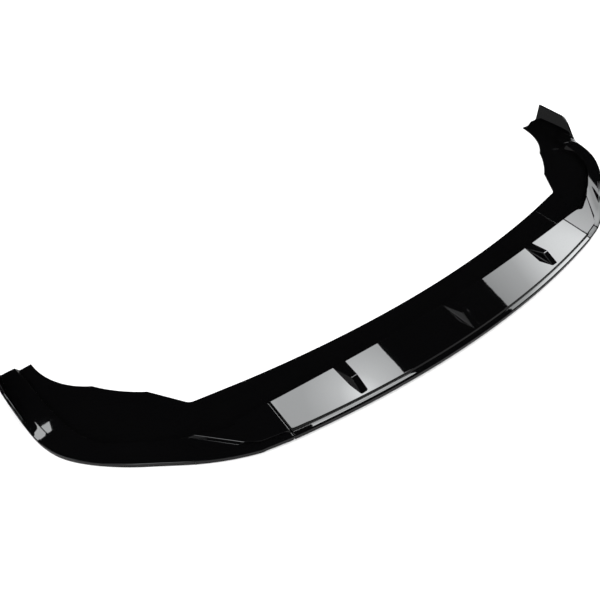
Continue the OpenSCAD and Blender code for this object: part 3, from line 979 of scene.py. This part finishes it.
class LIP_OT_centre_section(bpy.types.Operator):
    """Build the centre moulding: flange, raised deck, fins, strip and leading face"""
    bl_idname = "lip.centre_section"
    bl_label = "Centre section"

    def execute(self, context):
        size = sizes()

        def ring_at(x):
            return corners(size, centre_cut(size, x))

        rings = seam_rings(lambda along: ring_at(along - HALF_CENTRE), size.seam_round)
        inner = HALF_CENTRE - size.seam_round - SEAM_HOLDS[-1]
        rings += [ring_at(mix(-inner, inner, k / CENTRE_RINGS)) for k in range(1, CENTRE_RINGS)]
        rings += reversed(seam_rings(lambda along: ring_at(HALF_CENTRE - along), size.seam_round))
        obj = moulding("centre_moulding", rings)
        inner_y = RECESS_BOW * (INNER_RECESS_X / OUTER_RECESS_X) ** 2
        places = [(0, 0)]
        for side in (-1, 1):
            places += [(side * INNER_RECESS_X, inner_y), (side * OUTER_RECESS_X, RECESS_BOW)]
        pierce(obj, [recess_cutter(size, p) for p in places])
        extra = bmesh.new()
        for i in (-1, 0, 1):
            add_fin(extra, size, i * size.fin_pitch)
        for i in range(-4, 5):
            add_web(extra, size, centre_cut(size, i * RIB_PITCH + RIB_T / 2), RIB_T, RIB_FOOT)
        ends = [centre_cut(size, x) for x in (END_WALL_T - HALF_CENTRE, HALF_CENTRE)]
        add_end_walls(extra, size, ends, (-SEAM_X, SEAM_X))
        complete(obj, extra)
        dress(obj, shared("gloss_black_plastic", gloss_plastic), "centre_section")
        return {"FINISHED"}


class LIP_OT_side_sections(bpy.types.Operator):
    """Build the two side mouldings with their shelves, scalloped flanges and end plates"""
    bl_idname = "lip.side_sections"
    bl_label = "Side sections"

    def execute(self, context):
        size = sizes()
        at_seam = corners(size, side_cut(size, 0))
        ahead = corners(size, side_cut(size, NEXT))

        def near_seam(along):
            return [(p + (q - p) * ((along + SEAM_RELIEF) / (q.x - p.x)), radius, top)
                    for (p, radius, top), (q, _, _) in zip(at_seam, ahead)]

        stations = [k / 8 for k in range(2, 8 * SIDE_END + 1)]
        stations = [s for s in stations if not DECK_END - PAD_BEFORE < s < SHELF_START + PAD_AFTER]
        stations += [DECK_END - PAD_BEFORE * (1 - k / 24) ** 1.5 for k in range(20)]
        stations += [PAD_EDGE_AT + u * PAD_EDGE for u in PAD_RINGS]
        rings = seam_rings(near_seam, size.seam_round)
        rings += [corners(size, side_cut(size, s)) for s in sorted(stations)]
        left = moulding("side_moulding_left", rings)
        pierce(left, [recess_cutter(size, placed(size, p, crease_y(SEAM_X))) for p in SIDE_RECESSES])
        extra = bmesh.new()
        for s in RIB_STATIONS:
            add_web(extra, size, side_cut(size, s), RIB_T, RIB_FOOT)
        cut = side_cut(size, 0)
        for name in ("crease", "groove", "lead"):
            setattr(cut, name, getattr(cut, name) + Vector((END_WALL_T + END_WALL_BACK, 0)))
        add_end_walls(extra, size, [cut], (SEAM_X,))
        complete(left, extra)
        right = mirrored(left, "side_moulding_right")
        black = shared("gloss_black_plastic", gloss_plastic)
        dress(left, black, "side_section_left")
        dress(right, black, "side_section_right")
        return {"FINISHED"}


def hex_rim(face_at, sign, angle):
    """Where the rim of a hexagon's chamfered face lies at an angle; sign is 1 at its high face."""
    turn = (angle + math.pi / 6) % (math.pi / 3) - math.pi / 6
    radius = HEX_AF / 2 / math.cos(turn)
    return face_at - sign * max(radius - HEX_FLAT_R, 0) * HEX_CHAMFER, radius


def add_hexagon(mesh, low, high, bore=None):
    """Adds a bolt head or a nut along +X with chamfered corners; a nut has a countersunk bore."""
    makers = [lambda a: (low, HEX_FLAT_R), lambda a: hex_rim(low, -1, a),
              lambda a: hex_rim(high, 1, a), lambda a: (high, HEX_FLAT_R)]
    if bore:
        makers = [lambda a: (low + SINK_DEPTH, bore), lambda a: (low, bore + SINK_W), *makers,
                  lambda a: (high, bore + SINK_W), lambda a: (high - SINK_DEPTH, bore)]
    add_skin(mesh, [round_row(mesh, ROUND_STEPS, make) for make in makers], bool(bore))


def add_thread(mesh, start, end):
    """Adds a threaded shank along +X with a chamfered tip."""
    rows = []
    count = int((end - start) / BOLT_PITCH * THREAD_STEPS)
    for k in range(count + 1):
        x = mix(start, end, k / count)
        tip = max(0, TIP_CHAMFER - (end - x)) * 0.9

        def rim(angle):
            phase = (x / BOLT_PITCH - angle / (2 * math.pi)) % 1
            bite = THREAD_DEPTH * (1 - abs(2 * phase - 1)) if x > start + PLAIN_SHANK else 0
            return x, BOLT_R - max(bite, tip)

        rows.append(round_row(mesh, ROUND_STEPS // 2, rim))
    add_skin(mesh, rows)


def add_washer(mesh, start):
    """Adds a flat washer along +X with rounded rims."""
    end, edge = start + WASHER_T, WASHER_EDGE
    profile = [(start, HOLE_R + edge), (start, WASHER_R - edge), (start + edge, WASHER_R), (end - edge, WASHER_R),
               (end, WASHER_R - edge), (end, HOLE_R + edge), (end - edge, HOLE_R), (start + edge, HOLE_R)]
    add_lathe(mesh, profile)


def seam_tree():
    """Node tree that sets one fastener at each of the four bolt places, turned round at the right seam."""
    tree = bpy.data.node_groups.new("fasteners_at_the_seams", "GeometryNodeTree")
    face = tree.interface
    face.new_socket("Geometry", in_out="INPUT", socket_type="NodeSocketGeometry")
    for name in ("Seams apart", "Rows apart", "Rows' middle", "Height"):
        face.new_socket(name, in_out="INPUT", socket_type="NodeSocketFloat")
    face.new_socket("Finish", in_out="INPUT", socket_type="NodeSocketMaterial")
    face.new_socket("Geometry", in_out="OUTPUT", socket_type="NodeSocketGeometry")
    sheet = Sheet(tree)
    given = sheet.node("NodeGroupInput").outputs
    grid = sheet.node("GeometryNodeMeshGrid", {
        "Vertices X": 2, "Vertices Y": 2, "Size X": given["Seams apart"], "Size Y": given["Rows apart"]})
    shift = sheet.node("ShaderNodeCombineXYZ", {"Y": given["Rows' middle"], "Z": given["Height"]})
    places = sheet.node("GeometryNodeTransform", {"Geometry": grid, "Translation": shift})
    where = sheet.node("ShaderNodeSeparateXYZ", {0: sheet.node("GeometryNodeInputPosition")})
    across = Value(sheet, where.outputs["X"])
    turn = sheet.node("ShaderNodeCombineXYZ", {"Z": across.sum("LESS_THAN", across, 0) * math.pi})
    copies = sheet.node("GeometryNodeInstanceOnPoints", {
        "Points": places, "Instance": given["Geometry"], "Rotation": turn})
    real = sheet.node("GeometryNodeRealizeInstances", {"Geometry": copies})
    finish = sheet.node("GeometryNodeSetMaterial", {"Geometry": real, "Material": given["Finish"]})
    sheet.node("NodeGroupOutput", {"Geometry": finish})
    return tree


def set_at_seams(obj, material):
    """Repeats one fastener at the four bolt places and keeps the result as a plain mesh."""
    tree = bpy.data.node_groups.get("fasteners_at_the_seams") or seam_tree()
    rear, front = bolt_rows()
    values = {"Seams apart": 2 * SEAM_X * MM, "Rows apart": (rear - front) * MM,
              "Rows' middle": (rear + front) / 2 * MM, "Height": BOLT_Z * MM, "Finish": material}
    modifier = obj.modifiers.new("Seam places", "NODES")
    modifier.node_group = tree
    for item in tree.interface.items_tree:
        if item.in_out == "INPUT" and item.name in values:
            modifier[item.identifier] = values[item.name]
    baked(obj)


class LIP_OT_seam_hardware(bpy.types.Operator):
    """Set the seam bolts with their washers and nuts"""
    bl_idname = "lip.seam_hardware"
    bl_label = "Seam hardware"

    def execute(self, context):
        zinc = shared("zinc_plated_steel", zinc_plate)
        grip = END_WALL_T + SEAM_GAP / 2
        outside = grip + WASHER_T
        for name in ("seam_bolts", "seam_washers", "seam_nuts"):
            mesh = bmesh.new()
            if name == "seam_bolts":
                add_hexagon(mesh, -outside - HEAD_H, -outside)
                add_thread(mesh, -outside - 0.2, BOLT_LEN - outside)
            elif name == "seam_washers":
                add_washer(mesh, -outside)
                add_washer(mesh, grip)
            else:
                add_hexagon(mesh, outside, outside + NUT_H, NUT_BORE_R)
            bmesh.ops.recalc_face_normals(mesh, faces=mesh.faces)
            smooth_faces(mesh, HARDWARE_TURN)
            obj = to_object(name + "_fitted", mesh)
            set_at_seams(obj, zinc)
            dress(obj, zinc, name)
        return {"FINISHED"}


def add_lamp_panel(name, outline, hot_spot, reach, radiance, falloff):
    """Adds a diffuser panel that shows in the gloss, dimmer away from its hot spot."""
    mesh = bmesh.new()
    mesh.faces.new([mesh.verts.new((x, y, LAMP_Z)) for x, y in reversed(outline)])
    panel = to_object(name, mesh)
    material, sheet = new_material(name)
    centred = sheet.node("ShaderNodeMapping", {
        "Vector": sheet.place(), "Location": (*hot_spot, LAMP_Z), "Scale": (*reach, 1)}, vector_type="TEXTURE")
    glow = sheet.node("ShaderNodeTexGradient", {"Vector": centred}, gradient_type="SPHERICAL")
    stops = [(at, (*scaled(LAMP_TINT, level), 1)) for at, level in falloff]
    fall = sheet.node("ShaderNodeValToRGB", {"Fac": glow.outputs["Fac"]}, stops=stops)
    light = sheet.node("ShaderNodeEmission", {"Color": fall, "Strength": radiance})
    sheet.surface(light)
    panel.data.materials.append(material)
    panel.visible_camera = False
    panel.visible_diffuse = False
    panel.visible_shadow = False


def add_floor():
    """Adds the pale floor, which is darker in the gloss."""
    mesh = bmesh.new()
    h = FLOOR_HALF
    mesh.faces.new([mesh.verts.new((x, y, FLOOR_Z)) for x, y in ((-h, -h), (h, -h), (h, h), (-h, h))])
    floor = to_object("studio_floor", mesh)
    material, sheet = new_material("pale_floor")
    mottle = sheet.noise(3, 3)
    pale = tuple(bpy.context.scene.splitter_lip.floor_colour)
    seen = sheet.node("ShaderNodeBsdfPrincipled", {
        "Base Color": sheet.blend(mottle, pale, scaled(pale, 0.985)), "Roughness": 0.7 + mottle * 0.1,
        "Specular IOR Level": 0.2})
    in_gloss = sheet.node("ShaderNodeBsdfDiffuse", {"Color": (0.19, 0.19, 0.19, 1)})
    sheet.surface(sheet.split(seen, in_gloss))
    floor.data.materials.append(material)


def add_glow(scene):
    """Adds the soft light from above, and a world that is dark in the gloss."""
    sun = bpy.data.lights.new("ceiling_glow", "SUN")
    sun.energy = 3.0
    sun.angle = math.radians(80)
    glow = bpy.data.objects.new("ceiling_glow", sun)
    glow.rotation_euler = (math.radians(12), math.radians(-8), 0)
    glow.visible_glossy = False
    scene.collection.objects.link(glow)
    world = bpy.data.worlds.new("studio")
    world.use_nodes = True
    sheet = Sheet(world.node_tree)
    pale = sheet.node("ShaderNodeBackground", {"Color": (1, 1, 1, 1), "Strength": 0.9})
    dark = sheet.node("ShaderNodeBackground", {"Color": (0.004, 0.004, 0.0045, 1)})
    sheet.surface(sheet.split(pale, dark), "ShaderNodeOutputWorld")
    scene.world = world


def add_camera(scene):
    """Adds the camera at the photo's viewing angle."""
    azimuth, elevation, roll = (math.radians(a) for a in CAMERA_TURN)
    turn = (Matrix.Rotation(azimuth, 4, "Z") @ Matrix.Rotation(math.pi / 2 - elevation, 4, "X")
            @ Matrix.Rotation(roll, 4, "Z"))
    data = bpy.data.cameras.new("camera")
    data.sensor_width = 36
    data.lens = CAMERA_LENS
    data.clip_start = 0.02
    camera = bpy.data.objects.new("camera", data)
    camera.matrix_world = Matrix.Translation(CAMERA_AT) @ turn
    scene.collection.objects.link(camera)
    scene.camera = camera


class LIP_OT_studio(bpy.types.Operator):
    """Set the floor, the lamps and the camera"""
    bl_idname = "lip.studio"
    bl_label = "Studio"

    def execute(self, context):
        add_floor()
        for name, lamp in LAMPS.items():
            add_lamp_panel(name, *lamp)
        add_glow(context.scene)
        add_camera(context.scene)
        context.scene.view_settings.view_transform = "Standard"
        return {"FINISHED"}


class LIP_PT_builder(bpy.types.Panel):
    bl_label = "Splitter lip"
    bl_idname = "LIP_PT_builder"
    bl_space_type = "VIEW_3D"
    bl_region_type = "UI"
    bl_category = "Splitter lip"

    def draw(self, context):
        kept = context.scene.splitter_lip
        for name in kept.__annotations__:
            self.layout.prop(kept, name)
        for step in STEPS:
            self.layout.operator(step.bl_idname)


STEPS = (LIP_OT_centre_section, LIP_OT_side_sections, LIP_OT_seam_hardware, LIP_OT_studio)
CLASSES = (SplitterSizes, *STEPS, LIP_PT_builder)


def register():
    for made in CLASSES:
        bpy.utils.register_class(made)
    bpy.types.Scene.splitter_lip = bpy.props.PointerProperty(type=SplitterSizes)


def unregister():
    del bpy.types.Scene.splitter_lip
    for made in reversed(CLASSES):
        bpy.utils.unregister_class(made)


def main():
    register()
    bpy.ops.lip.centre_section()
    bpy.ops.lip.side_sections()
    bpy.ops.lip.seam_hardware()
    bpy.ops.lip.studio()


if __name__ == "__main__":
    main()
